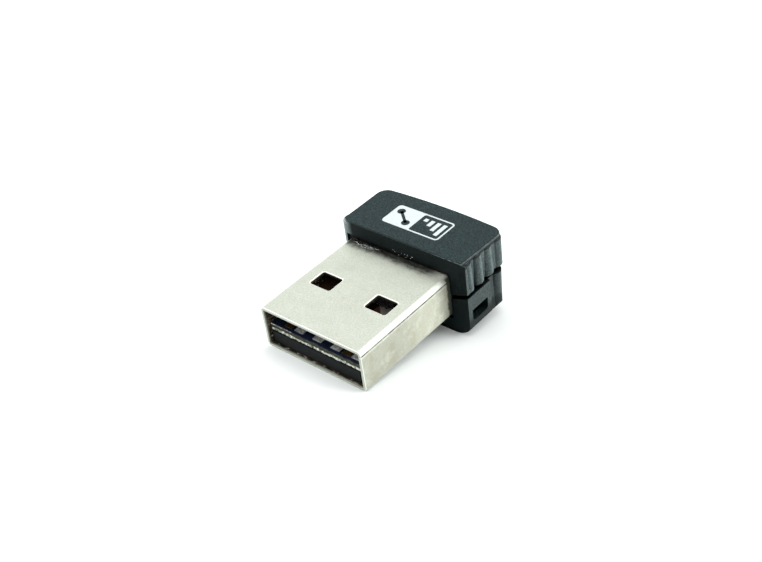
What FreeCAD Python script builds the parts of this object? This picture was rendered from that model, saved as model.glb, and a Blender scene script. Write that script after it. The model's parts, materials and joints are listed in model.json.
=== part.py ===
import FreeCAD, Part
import os
import re

import Sketcher

# USB wireless network adapter: a folded steel plug shell round a board and its
# plastic carrier, and a two-part plastic case over the back of the board.
# Frame: origin on the plug's axis in the plane of the case's front face, +X across
# the plug, +Y from the plug's mouth to the back of the case, +Z up to the case's top.
# Lengths are in millimetres.

DIMENSIONS = (
    # plug shell
    ("plug_width", 12.0),
    ("plug_height", 4.5),
    ("plug_length", 12.2),
    ("plug_inside", 1.2),
    ("shell_sheet", 0.3),
    ("shell_bend", 0.42),
    ("shell_wide_bend", 0.46),
    ("shell_seam", 0.06),
    ("shell_lip", 0.08),
    ("latch_width", 2.45),
    ("latch_length", 2.0),
    ("latch_setback", 5.0),
    ("latch_offset", 3.3),
    ("latch_rim", 0.10),
    ("latch_corner", 0.25),
    ("tab_length", 1.3),
    ("tab_height", 1.5),
    # circuit board and carrier
    ("board_width", 11.0),
    ("board_shift", -0.15),
    ("board_top", 0.15),
    ("board_sheet", 0.7),
    ("board_front", -11.65),
    ("board_back", 4.85),
    ("notch_depth", 0.35),
    ("carrier_front", -11.85),
    ("carrier_length", 8.2),
    ("carrier_width", 10.7),
    ("carrier_bottom", -1.93),
    ("carrier_nose", 0.12),
    # printed contacts
    ("contact_shift", -0.25),
    ("contact_width", 0.95),
    ("contact_sheet", 0.05),
    ("contact_inset", 0.3),
    ("contact_recess", 1.3),
    ("contact_end", -4.4),
    ("power_offset", 3.5),
    ("data_offset", 1.0),
    ("test_pad_width", 1.05),
    ("test_pad_length", 0.85),
    # case
    ("case_left", -6.58),
    ("case_right", 7.6),
    ("case_flare", 0.25),
    ("upper_depth", 6.32),
    ("lower_depth", 6.14),
    ("case_bulge", 0.35),
    ("case_top", 4.28),
    ("case_bottom", -3.94),
    ("case_corner", 1.2),
    ("case_front_corner", 0.75),
    ("case_edge", 0.16),
    ("case_roof", 0.9),
    ("flange_sheet", 0.3),
    ("keel_round", 2.2),
    ("keel_side", 0.95),
    ("keel_foot", 1.81),
    ("keel_back", 1.2),
    ("low_corner", 1.4),
    ("gap_low", 0.55),
    ("gap_high", 1.0),
    ("gap_drop", 0.72),
    ("gap_run", 2.0),
    ("throat_gap", 0.06),
    ("collar_side", 0.15),
    ("collar_above", 0.6),
    ("collar_below", 0.2),
    ("collar_depth", 0.5),
    ("glue_face", 0.22),
    ("cavity_left", -5.75),
    ("cavity_right", 6.7),
    ("cavity_front", 1.3),
    ("cavity_back", 5.0),
    ("tongue_set", 0.5),
    ("tongue_left", 0.33),
    ("tongue_height", 1.05),
    ("fit_gap", 0.06),
    # grip ribs on the case's sides
    ("grip_right", 8.05),
    ("grip_left", -6.92),
    ("rib_radius", 0.85),
    ("rib_crown", 0.72),
    ("rib_pitch", 1.52),
    ("rib_first", 0.73),
    ("rib_tuck", 0.07),
    ("rib_cap", 0.36),
    ("rib_round", 0.2),
    ("low_rib_centre", 4.88),
    ("low_rib_radius", 0.9),
    ("low_rib_foot", 0.78),
    ("panel_end", 3.45),
    # lanyard passage
    ("slot_front", 0.55),
    ("slot_back", 2.87),
    ("slot_low", -2.3),
    ("slot_high", -1.05),
    ("slot_inside", 6.6),
    ("slot_bar", 7.35),
    ("slot_corner", 0.4),
    # posts that hold the board
    ("post_radius", 0.75),
    ("pin_radius", 0.4),
    ("pin_offset", 4.3),
    ("pin_back", 3.95),
    ("pin_rise", 0.75),
    # parts on the board
    ("chip_side", 6.0),
    ("chip_height", 0.85),
    ("chip_centre", -1.25),
    ("lead_width", 0.24),
    ("lead_length", 0.3),
    ("lead_sheet", 0.12),
    ("lead_pitch", 0.5),
    ("crystal_length", 2.5),
    ("crystal_width", 2.0),
    ("crystal_base_height", 0.4),
    ("crystal_lid_height", 0.2),
    ("crystal_margin", 0.15),
    ("regulator_length", 2.9),
    ("regulator_width", 1.6),
    ("regulator_height", 1.0),
    ("regulator_pitch", 0.95),
    ("inductor_length", 2.0),
    ("inductor_width", 1.6),
    ("inductor_height", 0.95),
    ("small_length", 1.0),
    ("small_width", 0.5),
    ("capacitor_height", 0.5),
    ("resistor_height", 0.35),
    ("terminal_length", 0.25),
    ("antenna_front", 3.1),
    ("antenna_back", 4.6),
    ("antenna_pitch", 0.7),
    ("antenna_line", 0.3),
    ("solder_size", 0.45),
)
ALIASES = {name for name, _ in DIMENSIONS}

doc = FreeCAD.newDocument("usb_wifi_adapter")
sheet = doc.addObject("Spreadsheet::Sheet", "Dims")
for row, (alias, length) in enumerate(DIMENSIONS, 1):
    sheet.set("A%d" % row, alias)
    sheet.set("B%d" % row, str(length))
    sheet.setAlias("B%d" % row, alias)
doc.recompute()

sub_parts = []


# ---------------------------------------------------------------- shared helpers

def bound(text):
    """Turn plain dimension names into references to the spreadsheet's cells."""
    return re.sub(r"[a-z_]+", lambda word: named(word.group(0)), text)


def named(word):
    return "Dims." + word if word in ALIASES else word


def value(text):
    """The present size of an expression, in millimetres."""
    result = sheet.evalExpression(bound(text))
    return float(getattr(result, "Value", result))


def tie(item, sizes):
    """Bind an object's properties to expressions."""
    for name, text in sizes:
        item.setExpression(name, bound(text))
    return item


def keep(item, label):
    """Make an object one of the exported sub-parts."""
    item.Label = label
    sub_parts.append(item)
    return item


def block(name, low, high):
    """A box between two corners, each given as three expressions."""
    item = doc.addObject("Part::Box", name)
    sides = ["(%s) - (%s)" % (b, a) for a, b in zip(low, high)]
    return tie(item, (
        ("Placement.Base.x", low[0]),
        ("Placement.Base.y", low[1]),
        ("Placement.Base.z", low[2]),
        ("Length", sides[0]),
        ("Width", sides[1]),
        ("Height", sides[2]),
    ))


def group(label, items):
    """Separate identical solids that share one sub-part."""
    item = doc.addObject("Part::Compound", label)
    item.Links = items
    return keep(item, label)


def plane(body, role):
    return [item for item in body.Origin.OriginFeatures if item.Role == role][0]


def new_body(label):
    return keep(doc.addObject("PartDesign::Body", label), label)


def new_sketch(body, name, role, offset="0"):
    """A sketch on one of the body's own origin planes, moved along its normal."""
    sketch = body.newObject("Sketcher::SketchObject", name)
    sketch.AttachmentSupport = [(plane(body, role), "")]
    sketch.MapMode = "FlatFace"
    sketch.setExpression("AttachmentOffset.Base.z", bound(offset))
    return sketch


def place(sketch, curve, end, x, y):
    """Hold one end of a sketch curve at x, y from the sketch's origin."""
    for kind, text in (("DistanceX", x), ("DistanceY", y)):
        number = sketch.addConstraint(Sketcher.Constraint(kind, -1, 1, curve, end, value(text)))
        sketch.setExpression("Constraints[%d]" % number, bound(text))


def polygon(sketch, corners):
    """A closed outline with straight sides."""
    first = sketch.GeometryCount
    points = [FreeCAD.Vector(value(x), value(y), 0) for x, y in corners]
    count = len(points)
    for index in range(count):
        sketch.addGeometry(Part.LineSegment(points[index], points[(index + 1) % count]))
    for index in range(count):
        following = first + (index + 1) % count
        sketch.addConstraint(Sketcher.Constraint("Coincident", first + index, 2, following, 1))
    for index, (x, y) in enumerate(corners):
        place(sketch, first + index, 1, x, y)


def rectangle(sketch, low, high):
    polygon(sketch, ((low[0], low[1]), (high[0], low[1]), (high[0], high[1]), (low[0], high[1])))


def bowed(sketch, corners, rise):
    """An outline whose last two corners are joined by an arc that rises past them."""
    points = [FreeCAD.Vector(value(x), value(y), 0) for x, y in corners]
    first = sketch.GeometryCount
    last = len(points) - 1
    for index in range(last):
        sketch.addGeometry(Part.LineSegment(points[index], points[index + 1]))
    chord = points[0] - points[last]
    side = FreeCAD.Vector(-chord.y, chord.x, 0).normalize()
    middle = (points[0] + points[last]) * 0.5 - side * value(rise)
    arc = first + last
    sketch.addGeometry(Part.Arc(points[last], middle, points[0]))
    curve = sketch.Geometry[arc]
    ahead = curve.StartPoint.distanceToPoint(points[last]) < 1e-6
    start, end = (1, 2) if ahead else (2, 1)
    for index in range(last - 1):
        sketch.addConstraint(Sketcher.Constraint("Coincident", first + index, 2, first + index + 1, 1))
    sketch.addConstraint(Sketcher.Constraint("Coincident", arc - 1, 2, arc, start))
    sketch.addConstraint(Sketcher.Constraint("Coincident", arc, end, first, 1))
    for index in range(last):
        place(sketch, first + index, 1, *corners[index])
    place(sketch, arc - 1, 2, *corners[last])
    half = "(%f)" % (chord.Length / 2)
    radius = "(%s * %s + (%s) * (%s)) / (2 * (%s))" % (half, half, rise, rise, rise)
    number = sketch.addConstraint(Sketcher.Constraint("Radius", arc, value(radius)))
    sketch.setExpression("Constraints[%d]" % number, bound(radius))


def feature(body, kind, sketch, length, back=False):
    """Pad or pocket a sketch and make sure that it changed the solid."""
    before = body.Shape.Volume if body.Tip else 0.0
    item = body.newObject("PartDesign::" + kind, sketch.Name + kind)
    item.Profile = sketch
    item.Reversed = back
    item.setExpression("Length", bound(length))
    doc.recompute()
    grew = body.Shape.Volume - before
    if (kind == "Pad" and grew <= 0) or (kind == "Pocket" and grew >= 0):
        raise RuntimeError("%s changed nothing" % item.Name)
    return item


def pad(body, sketch, length, back=False):
    return feature(body, "Pad", sketch, length, back)


def pocket(body, sketch, length, back=False):
    return feature(body, "Pocket", sketch, length, back)


def middle_of(edge):
    return edge.valueAt((edge.FirstParameter + edge.LastParameter) / 2)


def round_edges(body, name, radius, test):
    """Round the edges whose middle point and shape pass a test."""
    base = body.Tip
    edges = base.Shape.Edges
    chosen = ["Edge%d" % (n + 1) for n, edge in enumerate(edges) if test(middle_of(edge), edge)]
    item = body.newObject("PartDesign::Fillet", name)
    item.Base = (base, chosen)
    item.setExpression("Radius", bound(radius))
    doc.recompute()
    return item


def near(a, b, slack=0.02):
    return abs(a - b) < slack


def straight(edge, axis):
    """True when an edge is a line along one axis: 0 for X, 1 for Y, 2 for Z."""
    if edge.Curve.TypeId != "Part::GeomLine":
        return False
    direction = edge.Curve.Direction
    return near(abs((direction.x, direction.y, direction.z)[axis]), 1.0)


# ---------------------------------------------------------------- plug shell

def make_plug_shell():
    """Folded steel sheet: a closed box section with a seam underneath and latch windows."""
    body = new_body("plug_shell")
    half = value("plug_width / 2")
    tall = value("plug_height / 2")
    outer = new_sketch(body, "ShellOutside", "XZ_Plane", "-plug_inside - tab_length")
    rectangle(outer, ("-plug_width / 2", "-plug_height / 2"), ("plug_width / 2", "plug_height / 2"))
    pad(body, outer, "plug_length + plug_inside + tab_length")
    round_edges(body, "OutsideBends", "shell_bend", lambda p, e: straight(e, 1)
                and near(abs(p.x), half) and not (p.x > 0 and p.z > 0))
    round_edges(body, "OutsideWideBend", "shell_wide_bend", lambda p, e: straight(e, 1)
                and near(p.x, half) and near(p.z, tall))
    inner = new_sketch(body, "ShellInside", "XZ_Plane", "-plug_inside - tab_length")
    low = ("-plug_width / 2 + shell_sheet", "-plug_height / 2 + shell_sheet")
    high = ("plug_width / 2 - shell_sheet", "plug_height / 2 - shell_sheet")
    rectangle(inner, low, high)
    pocket(body, inner, "plug_length + plug_inside + tab_length", back=True)
    half_in = value(high[0])
    tall_in = value(high[1])
    round_edges(body, "InsideBends", "shell_bend - shell_sheet", lambda p, e: straight(e, 1)
                and near(abs(p.x), half_in) and not (p.x > 0 and p.z > 0) and near(abs(p.z), tall_in))
    round_edges(body, "InsideWideBend", "shell_wide_bend - shell_sheet", lambda p, e: straight(e, 1)
                and near(p.x, half_in) and near(p.z, tall_in))
    cut_latch_windows(body)
    cut_seam(body)
    cut_tabs(body)
    mouth = -value("plug_length")
    round_edges(body, "MouthLip", "shell_lip", lambda p, e: near(p.y, mouth) and on_outside(p))
    return body


def on_outside(point):
    """True for a point on the plug's outer skin, well clear of its inner skin."""
    far_out = value("plug_width / 2 - shell_sheet / 2")
    far_up = value("plug_height / 2 - shell_sheet / 2")
    corner = abs(point.x) + abs(point.z) - far_out - far_up
    return abs(point.x) > far_out or abs(point.z) > far_up or corner > -0.12


def cut_latch_windows(body):
    """Four square windows, two above and two below, for the socket's springs."""
    for name, side in (("Left", "-1"), ("Right", "1")):
        sketch = new_sketch(body, "Latch" + name, "XY_Plane", "plug_height")
        centre = "%s * latch_offset" % side
        front = "-plug_length + latch_setback"
        rectangle(sketch, (centre + " - latch_width / 2", front),
                  (centre + " + latch_width / 2", front + " + latch_length"))
        pocket(body, sketch, "2 * plug_height")
    front = value("-plug_length + latch_setback")
    back = value("-plug_length + latch_setback + latch_length")
    round_edges(body, "LatchCorners", "latch_corner",
                lambda p, e: straight(e, 2) and (near(p.y, front) or near(p.y, back)))
    top = value("plug_height / 2")
    round_edges(body, "LatchRims", "latch_rim",
                lambda p, e: near(p.z, top) and front - 0.01 < p.y < back + 0.01
                and abs(p.x) < value("plug_width / 2 - shell_wide_bend"))


def cut_seam(body):
    """The butt seam where the folded sheet meets itself, along the underside."""
    sketch = new_sketch(body, "Seam", "XY_Plane", "0")
    rectangle(sketch, ("-shell_seam / 2", "-plug_length - 1"),
              ("shell_seam / 2", "plug_inside + tab_length + 1"))
    pocket(body, sketch, "plug_height")


def cut_tabs(body):
    """Behind the case's front wall only a tab on each side goes on, to the board's edge."""
    for name, low, high in (("Above", "tab_height / 2 - shell_sheet", "plug_height"),
                            ("Below", "-plug_height", "-tab_height / 2 - shell_sheet")):
        sketch = new_sketch(body, "Tabs" + name, "XZ_Plane", "-plug_inside - tab_length")
        rectangle(sketch, ("-plug_width", low), ("plug_width", high))
        pocket(body, sketch, "tab_length", back=True)


# ---------------------------------------------------------------- board and carrier

def make_circuit_board():
    """Board with notches for the shell's tabs and two holes for the lower case's pins."""
    body = new_body("circuit_board")
    left = "board_shift - board_width / 2"
    right = "board_shift + board_width / 2"
    notch_front = "plug_inside - 0.2"
    notch_back = "plug_inside + tab_length + 0.1"
    tab_inside = "plug_width / 2 - shell_sheet - fit_gap"
    sketch = new_sketch(body, "BoardOutline", "XY_Plane", "board_top - board_sheet")
    polygon(sketch, (
        (left, "board_front"),
        (right, "board_front"),
        (right, notch_front),
        (right + " - notch_depth", notch_front),
        (right + " - notch_depth", notch_back),
        (right, notch_back),
        (right, "board_back"),
        (left, "board_back"),
        (left, notch_back),
        (left + " + notch_depth", notch_back),
        (left + " + notch_depth", notch_front),
        (left, notch_front),
    ))
    pad(body, sketch, "board_sheet")
    for name, side in (("Left", "-1"), ("Right", "1")):
        hole = new_sketch(body, "PinHole" + name, "XY_Plane", "board_top")
        circle(hole, "%s * pin_offset" % side, "pin_back", "pin_radius + fit_gap")
        pocket(body, hole, "board_sheet + 1")
    return body


def circle(sketch, x, y, radius):
    number = sketch.addGeometry(Part.Circle(FreeCAD.Vector(value(x), value(y), 0),
                                            FreeCAD.Vector(0, 0, 1), value(radius)))
    place(sketch, number, 3, x, y)
    constraint = sketch.addConstraint(Sketcher.Constraint("Radius", number, value(radius)))
    sketch.setExpression("Constraints[%d]" % constraint, bound(radius))


def make_board_carrier():
    """Plastic block under the board that fills the lower half of the plug."""
    body = new_body("board_carrier")
    top = "board_top - board_sheet"
    sketch = new_sketch(body, "CarrierOutline", "XY_Plane", "carrier_bottom")
    left = "board_shift - carrier_width / 2"
    right = "board_shift + carrier_width / 2"
    rectangle(sketch, (left, "carrier_front"), (right, "carrier_front + carrier_length"))
    pad(body, sketch, "(%s) - carrier_bottom" % top)
    for name, side in (("Left", "-1"), ("Right", "1")):
        recess = new_sketch(body, "LatchRecess" + name, "XY_Plane", "carrier_bottom")
        centre = "%s * latch_offset" % side
        front = "-plug_length + latch_setback"
        rectangle(recess, (centre + " - latch_width / 2 - 0.1", front + " - 0.3"),
                  (centre + " + latch_width / 2 + 0.1", front + " + latch_length + 0.3"))
        pocket(body, recess, "0.6", back=True)
    nose = value("carrier_front")
    floor = value("carrier_bottom")
    round_edges(body, "CarrierNose", "carrier_nose",
                lambda p, e: near(p.y, nose) and (straight(e, 2) or near(p.z, floor)))
    return body


def contact_strip(label, offset, recess):
    """One gold-plated contact printed on the board's upper face."""
    centre = "contact_shift + (%s)" % offset
    front = "board_front + contact_inset + (%s)" % recess
    low = (centre + " - contact_width / 2", front, "board_top")
    high = (centre + " + contact_width / 2", "contact_end", "board_top + contact_sheet")
    return keep(block(label, low, high), label)


def make_contacts():
    """The power and ground contacts reach further forward than the two data contacts."""
    contact_strip("contact_ground", "-power_offset", "0")
    contact_strip("contact_data_plus", "-data_offset", "contact_recess")
    contact_strip("contact_data_minus", "data_offset", "contact_recess")
    contact_strip("contact_vbus", "power_offset", "0")


def make_test_pads():
    """Tinned pads between the contacts' front ends, near the board's front edge."""
    pads = []
    for number, offset in enumerate(("-2.2", "0", "2.2", "4.62")):
        centre = "contact_shift + (%s)" % offset
        front = "board_front + contact_inset"
        low = (centre + " - test_pad_width / 2", front, "board_top")
        high = (centre + " + test_pad_width / 2", front + " + test_pad_length",
                "board_top + contact_sheet")
        pads.append(block("TestPad%d" % number, low, high))
    group("test_pads", pads)


# ---------------------------------------------------------------- parts on the board

def make_wifi_chip():
    """Square radio chip with a row of terminals along each side."""
    half = "chip_side / 2"
    centre = "board_shift"
    seat = "board_top + lead_sheet / 4"
    chip = block("wifi_chip", (centre + " - " + half, "chip_centre - " + half, seat),
                 (centre + " + " + half, "chip_centre + " + half, seat + " + chip_height"))
    keep(chip, "wifi_chip")
    leads = []
    for side in range(4):
        for step in range(-4, 6):
            leads.append(chip_terminal(side, step - 0.5))
    group("wifi_chip_terminals", leads)


def chip_terminal(side, step):
    """A terminal standing out from the chip's side: sides 0 and 1 across X, 2 and 3 across Y."""
    along = "(%g) * lead_pitch" % step
    start = "chip_side / 2"
    end = "chip_side / 2 + lead_length"
    ahead = side % 2 == 0
    reach = (start, end) if ahead else ("-" + start, "-(%s)" % end)
    near_end, far_end = reach if ahead else (reach[1], reach[0])
    low = [near_end, along + " - lead_width / 2", "board_top"]
    high = [far_end, along + " + lead_width / 2", "board_top + lead_sheet"]
    if side > 1:
        low[0], low[1] = low[1], low[0]
        high[0], high[1] = high[1], high[0]
    centre = ("board_shift", "chip_centre")
    for axis in (0, 1):
        low[axis] = "%s + (%s)" % (centre[axis], low[axis])
        high[axis] = "%s + (%s)" % (centre[axis], high[axis])
    return block("ChipTerminal%d%s" % (side, str(int(step * 2)).replace("-", "m")), low, high)


def make_crystal():
    """Ceramic crystal package with a metal lid, beside the antenna."""
    left = "board_shift + 2.9 - crystal_length / 2"
    right = "board_shift + 2.9 + crystal_length / 2"
    under = "board_top - board_sheet"
    front = "1.9 - crystal_width / 2"
    back = "1.9 + crystal_width / 2"
    base = block("crystal_base", (left, front, under + " - crystal_base_height"), (right, back, under))
    keep(base, "crystal_base")
    lid_top = under + " - crystal_base_height"
    lid = block("crystal_lid",
                (left + " + crystal_margin", front + " + crystal_margin", lid_top + " - crystal_lid_height"),
                (right + " - crystal_margin", back + " - crystal_margin", lid_top))
    keep(lid, "crystal_lid")


def make_regulator():
    """Voltage regulator with five gull-wing leads, on the board's underside."""
    under = "board_top - board_sheet"
    x = "board_shift - 3.0"
    y = "-1.6"
    body = block("regulator_body",
                 (x + " - regulator_length / 2", y + " - regulator_width / 2",
                  under + " - 0.1 - regulator_height"),
                 (x + " + regulator_length / 2", y + " + regulator_width / 2", under + " - 0.1"))
    keep(body, "regulator_body")
    leads = []
    for side, steps in ((1, (-1, 0, 1)), (-1, (-1, 1))):
        for step in steps:
            leads.append(gull_lead(side, step, x, y, under))
    group("regulator_leads", leads)


def gull_lead(side, step, x, y, under):
    """A lead that leaves the package at mid height, drops and runs out along the board."""
    centre = "%s + (%d) * regulator_pitch" % (x, step)
    name = "Lead%s%s" % ("Back" if side > 0 else "Front", str(step).replace("-", "m"))
    edge = "%s + (%d) * regulator_width / 2" % (y, side)
    pieces = []
    for part, near_out, far_out, low, high in (
            ("Arm", "0", "0.25", "-0.65", "-0.5"),
            ("Drop", "0.1", "0.25", "-0.65", "0"),
            ("Foot", "0.1", "0.55", "-0.15", "0")):
        ends = ["%s + (%d) * %s" % (edge, side, near_out), "%s + (%d) * %s" % (edge, side, far_out)]
        if side < 0:
            ends.reverse()
        pieces.append(block(name + part,
                            (centre + " - 0.2", ends[0], "%s + (%s)" % (under, low)),
                            (centre + " + 0.2", ends[1], "%s + (%s)" % (under, high))))
    lead = doc.addObject("Part::MultiFuse", name)
    lead.Shapes = pieces
    lead.Refine = True
    return lead


def make_inductor():
    """Moulded power inductor with a terminal on each end, on the board's underside."""
    under = "board_top - board_sheet"
    x = "board_shift + 3.1"
    y = "-1.6"
    ends = []
    low_z = under + " - inductor_height"
    for side in (-1, 1):
        face = "%s + (%d) * inductor_length / 2" % (x, side)
        inner = "%s + (%d) * (inductor_length / 2 - terminal_length)" % (x, side)
        near_x, far_x = (face, inner) if side < 0 else (inner, face)
        name = "InductorEnd%s" % ("Left" if side < 0 else "Right")
        ends.append(block(name, (near_x, y + " - inductor_width / 2", low_z),
                          (far_x, y + " + inductor_width / 2", under)))
    core = block("inductor_core",
                 (x + " - inductor_length / 2 + terminal_length", y + " - inductor_width / 2", low_z),
                 (x + " + inductor_length / 2 - terminal_length", y + " + inductor_width / 2", under))
    keep(core, "inductor_core")
    group("inductor_terminals", ends)


def small_part(name, x, y, turned, under, height):
    """A two-terminal chip: returns its body and its two end caps."""
    top = "board_top - board_sheet" if under else "board_top + (%s)" % height
    floor = "board_top - board_sheet - (%s)" % height if under else "board_top"

    def bar(part, start, end):
        along = ("%s + (%s)", "%s - small_width / 2", "%s + small_width / 2")
        if turned:
            return block(name + part, (along[1] % x, along[0] % (y, start), floor),
                         (along[2] % x, along[0] % (y, end), top))
        return block(name + part, (along[0] % (x, start), along[1] % y, floor),
                     (along[0] % (x, end), along[2] % y, top))

    half = "small_length / 2"
    inner = "small_length / 2 - terminal_length"
    body = bar("Body", "-(%s)" % inner, inner)
    caps = [bar("CapA", "-" + half, "-(%s)" % inner), bar("CapB", inner, half)]
    return body, caps


def make_small_parts():
    """Capacitors and resistors round the chip, the regulator and the antenna feed."""
    capacitors = (
        ("-4.4", "0.6", True, False), ("-4.4", "-1.0", True, False), ("-4.4", "-2.6", True, False),
        ("4.1", "-2.6", True, False), ("-0.4", "-1.2", True, True), ("0.6", "-1.2", True, True),
        ("-3.9", "1.3", False, True), ("-1.9", "1.3", False, True),
    )
    resistors = (
        ("4.1", "-1.0", True, False), ("4.1", "0.6", True, False), ("-1.2", "2.45", False, False),
        ("0.5", "2.45", False, False), ("-0.1", "1.3", False, True), ("-2.2", "2.6", False, True),
    )
    for kind, rows, height in (("capacitor", capacitors, "capacitor_height"),
                               ("resistor", resistors, "resistor_height")):
        bodies = []
        caps = []
        for number, (x, y, turned, under) in enumerate(rows):
            name = "%s%d" % (kind.title(), number)
            body, ends = small_part(name, "board_shift + (%s)" % x, y, turned, under, height)
            bodies.append(body)
            caps.extend(ends)
        group(kind + "_bodies", bodies)
        group(kind + "_terminals", caps)


def make_antenna():
    """Printed antenna: a flat conductor that runs back and forth across the board's back."""
    pieces = []
    turns = 9
    start = "board_shift - 2.8"
    top = "board_top + contact_sheet"
    for turn in range(turns):
        left = "%s + %d * antenna_pitch" % (start, turn)
        right = left + " + antenna_line"
        front = "2.3" if turn == 0 else "antenna_front"
        pieces.append(block("AntennaRun%d" % turn, (left, front, "board_top"),
                            (right, "antenna_back", top)))
        if turn:
            before = "%s + %d * antenna_pitch" % (start, turn - 1)
            at_back = turn % 2 == 1
            low_y = "antenna_back - antenna_line" if at_back else "antenna_front"
            high_y = "antenna_back" if at_back else "antenna_front + antenna_line"
            pieces.append(block("AntennaTurn%d" % turn, (before, low_y, "board_top"),
                                (right, high_y, top)))
    trace = doc.addObject("Part::MultiFuse", "antenna_trace")
    trace.Shapes = pieces
    trace.Refine = True
    keep(trace, "antenna_trace")


def make_shell_solder():
    """A solder fillet on each side, from the shell's tab down to the board."""
    joints = []
    for side in (-1, 1):
        tab = "(%d) * (plug_width / 2 - shell_sheet)" % side
        inner = "%s - (%d) * solder_size * 1.6" % (tab, side)
        joint = doc.addObject("Part::Wedge", "SolderLeft" if side < 0 else "SolderRight")
        low, high = (tab, inner) if side < 0 else (inner, tab)
        flush = (low, low) if side < 0 else (high, high)
        front = "plug_inside + 0.15"
        back = "plug_inside + tab_length - 0.15"
        tie(joint, (
            ("Xmin", low), ("Xmax", high), ("X2min", flush[0]), ("X2max", flush[1]),
            ("Ymin", "board_top"), ("Ymax", "board_top + solder_size"),
            ("Zmin", front), ("Zmax", back), ("Z2min", front), ("Z2max", back),
        ))
        joints.append(joint)
    group("shell_solder_joints", joints)


def make_shell_adhesive():
    """A ring of glue round the shell, sunk in the collar of the case's front wall."""
    body = new_body("shell_adhesive")
    outline = new_sketch(body, "GlueOutside", "XZ_Plane", "-collar_depth")
    rectangle(outline, ("-plug_width / 2 - collar_side", "-plug_height / 2 - collar_below"),
              ("plug_width / 2 + collar_side", "plug_height / 2 + collar_above"))
    pad(body, outline, "collar_depth - glue_face")
    hole = new_sketch(body, "GlueInside", "XZ_Plane", "-collar_depth")
    rectangle(hole, ("-plug_width / 2", "-plug_height / 2"), ("plug_width / 2", "plug_height / 2"))
    pocket(body, hole, "collar_depth - glue_face", back=True)
    half = value("plug_width / 2")
    tall = value("plug_height / 2")
    round_edges(body, "GlueBends", "shell_bend", lambda p, e: straight(e, 1)
                and near(abs(p.x), half) and near(abs(p.z), tall) and not (p.x > 0 and p.z > 0))
    round_edges(body, "GlueWideBend", "shell_wide_bend", lambda p, e: straight(e, 1)
                and near(p.x, half) and near(p.z, tall))
    return body


# ---------------------------------------------------------------- case

def case_outline(body, name, level, height, depth, corner, back=False):
    """The case's plan: straight front and sides, and a back that bows gently outwards."""
    sketch = new_sketch(body, name, "XY_Plane", level)
    bowed(sketch, (
        ("case_left", depth),
        ("case_left", "0"),
        ("case_right", "0"),
        ("case_right + case_flare", depth),
    ), "case_bulge")
    pad(body, sketch, height, back)
    rear = value(depth)
    side = value("case_left")
    round_edges(body, name + "Corners", corner, lambda p, e: straight(e, 2) and near(p.y, rear))
    round_edges(body, name + "FrontCorner", "case_front_corner",
                lambda p, e: straight(e, 2) and near(p.x, side) and near(p.y, 0))


def grip_rib(body, name, x, y, low, high, foot, crown):
    """An upright rounded rib, a little slimmer at one end than at the other."""
    cone = body.newObject("PartDesign::AdditiveCone", name)
    cone.AttachmentSupport = [(plane(body, "XY_Plane"), "")]
    cone.MapMode = "FlatFace"
    tie(cone, (
        ("AttachmentOffset.Base.x", x),
        ("AttachmentOffset.Base.y", y),
        ("AttachmentOffset.Base.z", low),
        ("Radius1", foot),
        ("Radius2", crown),
        ("Height", "(%s) - (%s)" % (high, low)),
    ))
    doc.recompute()


def upper_ribs(body, name, x, y, crown):
    """One rib of the upper case with the rounded shoulder that ends it under the rim."""
    shoulder = "case_top - rib_cap"
    grip_rib(body, name, x, y, "gap_high", shoulder, "rib_radius", crown)
    grip_rib(body, name + "Tip", x, y, shoulder, shoulder + " + rib_round", crown, crown + " - rib_round")


def cut_plug_opening(body):
    """The throat that the plug passes through, and the wider sunk collar in front of it."""
    throat = new_sketch(body, "Throat", "XZ_Plane", "-cavity_front - 0.2")
    rectangle(throat, ("-plug_width / 2 - throat_gap", "-plug_height / 2 - throat_gap"),
              ("plug_width / 2 + throat_gap", "plug_height / 2 + throat_gap"))
    pocket(body, throat, "cavity_front + 1", back=True)
    collar = new_sketch(body, "Collar", "XZ_Plane", "-collar_depth")
    rectangle(collar, ("-plug_width / 2 - collar_side", "-plug_height / 2 - collar_below"),
              ("plug_width / 2 + collar_side", "plug_height / 2 + collar_above"))
    pocket(body, collar, "collar_depth + 1", back=True)


def slope(sketch, level, side, far):
    """A wedge whose edge drops from the case's side towards the plug."""
    edge = "grip_right" if side > 0 else "grip_left"
    inner = "%s - (%d) * gap_run" % (edge, side)
    polygon(sketch, [(edge, far), (edge, level), (inner, level + " - gap_drop"), (inner, far)])


def tongue_outline(body, name, offset, grow):
    """Plan of the tongue that stands behind the parting line."""
    sketch = new_sketch(body, name, "XY_Plane", offset)
    bowed(sketch, (
        ("case_left + tongue_left - (%s)" % grow, "lower_depth - tongue_set - 0.1 + (%s)" % grow),
        ("case_left + tongue_left - (%s)" % grow, "tongue_set - (%s)" % grow),
        ("case_right - tongue_set + (%s)" % grow, "tongue_set - (%s)" % grow),
        ("case_right - tongue_set + (%s)" % grow, "lower_depth - tongue_set - 0.1 + (%s)" % grow),
    ), "case_bulge")
    return sketch


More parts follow.
